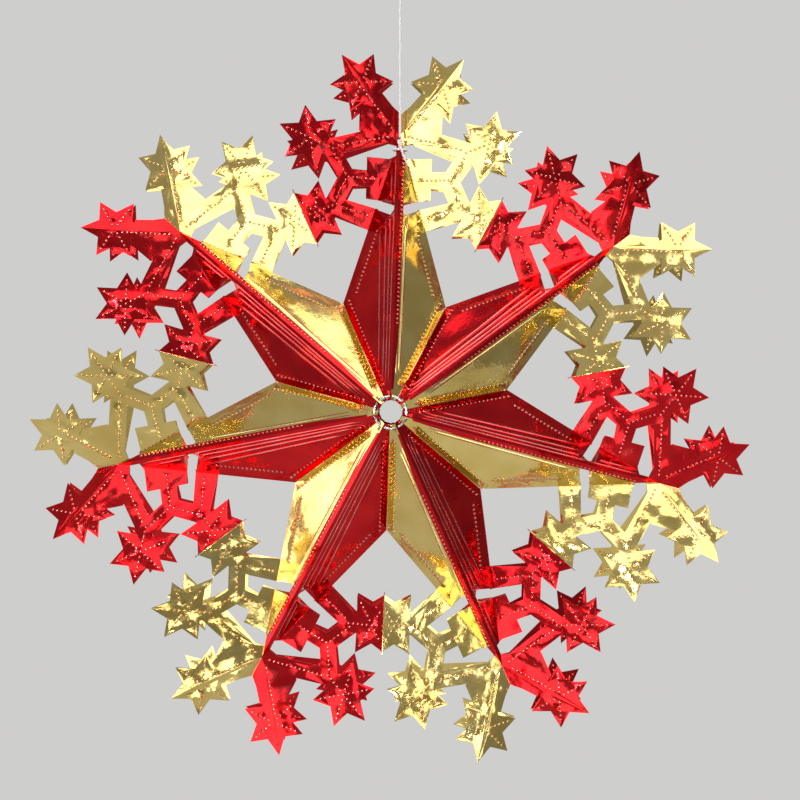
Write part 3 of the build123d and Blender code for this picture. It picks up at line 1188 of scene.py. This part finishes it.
@dataclass
class WireRings:
    """Two rings of plated wire that the inner tips are strung on."""

    wire: float = 1.8
    radius: float = 11.0
    split: float = 4.0
    turns: int = 120
    sides: int = 16
    fold: float = 40.0  # degrees from which an edge stays sharp
    ends: tuple[Point, ...] = ((0.0, 0.72), (0.012, 0.93), (0.03, 1.0))  # place along, and thickness

    def build(self) -> None:
        """Make and dress both rings."""
        material = WireFinish().material()
        for face in Face:
            node = f"{face.name.lower()}_wire_ring"
            low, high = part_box(node)
            ring = set_out(f"{node}_wire", self.mesh(node))
            ring.data.materials.append(material)
            ring.location = (low + high) / 2
            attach(ring, STAR_BODY)
            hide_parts(node)
            log.info("%s: %d faces", ring.name, len(ring.data.polygons))

    def mesh(self, name: str) -> bpy.types.Mesh:
        """Bend the wire round, with slightly rounded butted ends at the bottom.

        Args:
            name: Name of the mesh.

        Returns:
            The mesh, in metres round its own middle.
        """
        half = self.wire / 2
        sweep = math.radians(360 - self.split)
        stations = [*self.ends, *((t, 1.0) for t in np.linspace(0.05, 0.95, self.turns))]
        stations += [(1 - t, size) for t, size in reversed(self.ends)]
        points = []
        for share, size in stations:
            angle = math.radians(self.split / 2) + sweep * share
            for k in range(self.sides):
                turn = 2 * math.pi * k / self.sides
                reach = self.radius + half * size * math.cos(turn)
                point = (-reach * math.sin(angle), half * size * math.sin(turn), -reach * math.cos(angle))
                points.append(tuple(c * MM for c in point))
        count = self.sides
        faces = [tuple(range(count))]
        for s in range(len(stations) - 1):
            for k in range(count):
                a, b = s * count + k, s * count + (k + 1) % count
                faces.append((b, a, a + count, b + count))
        last = (len(stations) - 1) * count
        faces.append(tuple(range(last + count - 1, last - 1, -1)))
        return smooth_mesh(name, points, faces, self.fold)


# ---------------------------------------------------------------------------------------------
# Thread


def thread_curve(
    name: str, points: Iterable[Sequence[float]], thickness: float, closed: bool = False
) -> bpy.types.Object:
    """Make a smooth round thread along control points.

    Args:
        name: Name of the object.
        points: Control points in millimetres.
        thickness: Diameter of the thread.
        closed: Whether the thread runs back into itself.

    Returns:
        The curve object, linked to the scene.
    """
    curve = bpy.data.curves.new(name, "CURVE")
    curve.dimensions = "3D"
    curve.bevel_depth = 1.0  # times each point's radius, which the object's box is measured by
    curve.bevel_resolution = 4
    curve.resolution_u = 12
    curve.use_fill_caps = True
    spline = curve.splines.new("NURBS")
    places = [Vector(p) * MM for p in points]
    spline.points.add(len(places) - 1)
    for point, place in zip(spline.points, places):
        point.co = (*place, 1.0)
        point.radius = thickness / 2 * MM
    spline.order_u = 3
    spline.use_endpoint_u = not closed
    spline.use_cyclic_u = closed
    return set_out(name, curve)


@dataclass
class Suspension:
    """The thread: its hitch round the top ray, the straight run, the knots and the hanging loop."""

    thickness: float = 1.6
    drop: float = 135.0
    knot_height: float = 8.0
    knot_radius: float = 2.0
    knot_points: int = 36
    pulled: float = 0.40  # half thickness of the thread in a knot, as a share of its thickness
    lead: float = 6.0  # from each end of the straight run to its next point, in diameters
    loop_height: float = 20.0
    loop_half_width: float = 4.6
    loop_foot: float = 1.0
    hitch_radius: float = 4.7
    hitch_reach: float = 185.75
    hitch_points: int = 12
    hitch_spread: float = 1.035  # makes up for the spline, which runs inside its control points
    loose_end: tuple[tuple[float, float, float], ...] = (
        (0.4, 0.0, -2.0),
        (1.6, -1.5, -6.5),
        (3.2, -1.9, -11.0),
        (6.3, -1.4, -16.0),
    )

    @property
    def loop_knot(self) -> float:
        """Height of the middle of the loop's knot."""
        return self.thickness / 2 - self.loop_height - self.knot_height / 2

    def knot(self, name: str, middle: float, body: str) -> bpy.types.Object:
        """Tie an overhand knot on the thread.

        Args:
            name: Name of the piece.
            middle: Height of the knot's middle.
            body: Body that the knot rides on.

        Returns:
            The knot.
        """
        tube = self.thickness * self.pulled
        wide = (self.knot_radius - tube) / 3.0
        tall = self.knot_height / 2 - tube
        points = []
        for k in range(self.knot_points):
            t = 2 * math.pi * k / self.knot_points
            x = wide * (math.sin(t) + 2 * math.sin(2 * t))
            y = wide * math.sin(3 * t) * 1.6
            z = middle + tall * (math.cos(t) - 2 * math.cos(2 * t)) / 3.0
            points.append((x, y, z))
        knot = thread_curve(name, points, tube * 2, closed=True)
        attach(knot, body)
        return knot

    def straight_thread(self) -> bpy.types.Object:
        """Run the thread from the hitch's knot up into the loop's knot.

        Returns:
            The thread.
        """
        foot, head = self.knot_height / 2 - self.drop, self.loop_knot
        lead = self.lead * self.thickness
        heights = [foot, foot + lead, head - lead, head]
        return thread_curve("straight_thread", [(0, 0, z) for z in heights], self.thickness)

    def loop(self) -> bpy.types.Object:
        """Bend the hanging loop.

        Returns:
            The loop.
        """
        low, top = self.loop_knot + 1.0, self.thickness / -2
        wide, foot = self.loop_half_width, self.loop_foot
        right = [
            (foot, 0, low),
            (foot + 0.4, 0, low + 4),
            (wide - 0.6, 0, top - 8.5),
            (wide, 0, top - 4.0),
            (wide - 0.5, 0, top + 0.2),
        ]
        points = right + [(0, 0, top + 0.75)] + [(-x, y, z) for x, y, z in reversed(right)]
        return thread_curve("hanging_loop_thread", points, self.thickness)

    def hitch(self, hub: Vector, along: Vector) -> list[bpy.types.Object]:
        """Wind the turn round the necks of the top ray and lay its loose end.

        Args:
            hub: Middle of the star in metres.
            along: Direction of the top ray.

        Returns:
            The turn and the loose end.
        """
        middle = hub / MM + along * self.hitch_reach
        front = Vector((0, -1, 0))
        side = front.cross(along)
        points = []
        for k in range(self.hitch_points):
            angle = 2 * math.pi * k / self.hitch_points
            way = front * math.cos(angle) + side * math.sin(angle)
            points.append(middle + way * self.hitch_radius * self.hitch_spread)
        turn = thread_curve("hitch_turn", points, self.thickness, closed=True)
        end = [(x, y, z - self.drop) for x, y, z in self.loose_end]
        loose = thread_curve("loose_thread_end", end, self.thickness)
        return [turn, loose]

    def build(self, hub: Vector, along: Vector) -> None:
        """Args:
            hub: Middle of the star in metres.
            along: Direction of the top ray.
        """
        material = ThreadFinish().material()
        thread = self.straight_thread()
        loop = self.loop()
        upper = self.knot("loop_knot", self.loop_knot, THREAD_BODY)
        lower = self.knot("hitch_knot", -self.drop, STAR_BODY)
        hitch = self.hitch(hub, along)
        for piece in (thread, loop):
            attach(piece, THREAD_BODY)
        for piece in hitch:
            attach(piece, STAR_BODY)
        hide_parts("hanging_thread")
        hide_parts("thread_hitch")
        for piece in (thread, loop, upper, lower, *hitch):
            piece.data.materials.append(material)
            log.info("%s", piece.name)


# ---------------------------------------------------------------------------------------------
# Studio


@dataclass
class Studio:
    """Pale round floor, plain background, soft lamps and the camera; lengths are in metres."""

    distance: float = 1.15
    lens: float = 73.0
    aim_above_hub: float = 8.5 * MM
    background: Colour = (0.62, 0.616, 0.608)
    paper: tuple[Colour, Colour] = ((0.78, 0.775, 0.765), (0.80, 0.795, 0.785))
    floor_drop: float = 1.25
    floor_radius: float = 2.0
    floor_sides: int = 64
    room_low: Colour = (0.07, 0.07, 0.08)
    room_high: Colour = (0.36, 0.36, 0.37)
    room_side: tuple[float, float, float] = (-0.75, -0.1, 0.65)  # the way to the room's pale side
    room_strength: float = 0.8
    softboxes: tuple[tuple[str, Sequence[float], tuple[float, float], float], ...] = (
        ("left_softbox", (-1.2, -0.6, 0.06), (1.3, 0.55), 4.9),
        ("top_softbox", (0.1, -0.6, 1.15), (1.3, 1.0), 7.2),
        ("low_softbox", (-0.5, -0.75, -0.6), (0.55, 0.5), 1.9),
        ("upper_right_softbox", (0.95, -0.8, 0.6), (0.35, 0.7), 1.5),
        ("right_softbox", (0.85, -0.75, -0.05), (0.18, 0.3), 0.42),
        ("low_right_softbox", (0.48, -0.75, -0.62), (0.25, 0.25), 0.5),
        ("front_top_softbox", (0.0, -1.15, 0.52), (0.6, 0.05), 3.0),
        ("front_left_softbox", (-0.55, -1.15, 0.0), (0.05, 0.45), 2.4),
        ("front_right_softbox", (0.55, -1.15, 0.05), (0.05, 0.4), 2.0),
        ("back_left_softbox", (-0.9, 1.3, 0.7), (0.9, 0.6), 5.0),
        ("back_right_softbox", (1.2, 0.9, 0.1), (0.5, 0.9), 3.5),
        ("back_low_softbox", (0.1, 1.2, -0.7), (0.7, 0.3), 1.6),
    )

    def build(self, hub: Vector) -> None:
        """Set up everything round the star.

        Args:
            hub: Middle of the star in metres.
        """
        self.floor(hub)
        self.world()
        for name, place, size, power in self.softboxes:
            self.softbox(name, hub + Vector(place), hub, size, power)
        self.camera(hub)

    def floor(self, hub: Vector) -> None:
        """Lay a round pale floor that fades into the background.

        Args:
            hub: Middle of the star in metres.
        """
        angles = [2 * math.pi * k / self.floor_sides for k in range(self.floor_sides)]
        rim = [(self.floor_radius * math.cos(a), self.floor_radius * math.sin(a), 0.0) for a in angles]
        mesh = bpy.data.meshes.new("studio_floor")
        mesh.from_pydata(rim, [], [tuple(range(self.floor_sides))])
        sheet = NodeSheet("studio_paper")
        grain = sheet.noise(3.0, 2.0)
        sheet.feed(Base_Color=sheet.ramp(grain.outputs["Fac"], list(zip(NOISE_MIDDLE, self.paper))))
        sheet.dress(Roughness=0.9)
        place = sheet.add("ShaderNodeTexCoord").outputs["Object"]
        reach = sheet.add("ShaderNodeVectorMath", operation="LENGTH")
        split = sheet.add("ShaderNodeSeparateXYZ")
        sheet.join(place, reach.inputs[0])
        sheet.join(place, split.inputs["Vector"])
        behind = sheet.seen(sheet.fade(split.outputs["Y"], 0.0, 1.0, 0.5))
        edge = sheet.fade(reach.outputs["Value"], 0.4, self.floor_radius * 0.95, 0.75)
        glow = sheet.add("ShaderNodeEmission")
        glow.inputs["Color"].default_value = (*self.background, 1)
        share = sheet.calculate("MULTIPLY", behind, edge)
        sheet.blend(share, sheet.shader.outputs["BSDF"], glow.outputs["Emission"], sheet.output)
        mesh.materials.append(sheet.material)
        paper = set_out("studio_floor", mesh)
        paper.location = hub - Vector((0, 0, self.floor_drop))

    def world(self) -> None:
        """Light the room softly, brighter up and to the left, before a plain background."""
        world = bpy.data.worlds.new("studio_room")
        world.use_nodes = True
        room = Nodes(world.node_tree)
        place = room.add("ShaderNodeTexCoord").outputs["Generated"]
        slant = room.add("ShaderNodeVectorMath", operation="DOT_PRODUCT")
        slant.inputs[1].default_value = self.room_side
        room.join(place, slant.inputs[0])
        height = room.remap(slant.outputs["Value"], (-1.0, 1.0), (0.0, 1.0))
        light = room.add("ShaderNodeBackground")
        light.inputs["Strength"].default_value = self.room_strength
        room.join(room.ramp(height, [(0.10, self.room_low), (0.95, self.room_high)]), light.inputs["Color"])
        split = room.add("ShaderNodeSeparateXYZ")
        room.join(place, split.inputs["Vector"])
        plain_light = room.add("ShaderNodeBackground")
        plain_light.inputs["Color"].default_value = (*self.background, 1)
        behind = room.seen(room.fade(split.outputs["Y"], 0.3, 0.8, 0.25))
        output = room.add("ShaderNodeOutputWorld")
        room.blend(behind, light.outputs["Background"], plain_light.outputs["Background"], output)
        bpy.context.scene.world = world

    def softbox(self, name: str, place: Vector, aim: Vector, size: Point, power: float) -> None:
        """Hang one soft lamp.

        Args:
            name: Name of the lamp.
            place: Where it hangs.
            aim: What it points at.
            size: Width and height in metres.
            power: Power in watts.
        """
        lamp = bpy.data.lights.new(name, "AREA")
        lamp.shape = "RECTANGLE"
        lamp.size, lamp.size_y = size
        lamp.energy = power
        holder = set_out(name, lamp)
        holder.location = place
        holder.rotation_euler = (aim - place).to_track_quat("-Z", "Y").to_euler()
        holder.visible_camera = False

    def camera(self, hub: Vector) -> None:
        """Stand the camera square in front of the star.

        Args:
            hub: Middle of the star in metres.
        """
        lens = bpy.data.cameras.new("studio_camera")
        lens.lens = self.lens
        lens.sensor_width = 36.0
        holder = set_out("studio_camera", lens)
        holder.location = (0.0, hub.y - self.distance, hub.z + self.aim_above_hub)
        holder.rotation_euler = (math.pi / 2, 0, 0)
        bpy.context.scene.camera = holder


def main() -> None:
    """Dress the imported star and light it."""
    logging.basicConfig(level=logging.INFO, format="%(name)s: %(message)s")
    bpy.context.scene.view_settings.view_transform = "Standard"
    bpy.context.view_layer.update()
    star = FoilStar()
    star.build()
    WireRings().build()
    hub = star.hub()
    along = (star.seat(1).to_3x3() @ Vector((1, 0, 0))).normalized()
    Suspension().build(hub, along)
    Studio().build(hub)
    bpy.context.view_layer.update()


if __name__ == "__main__":
    main()
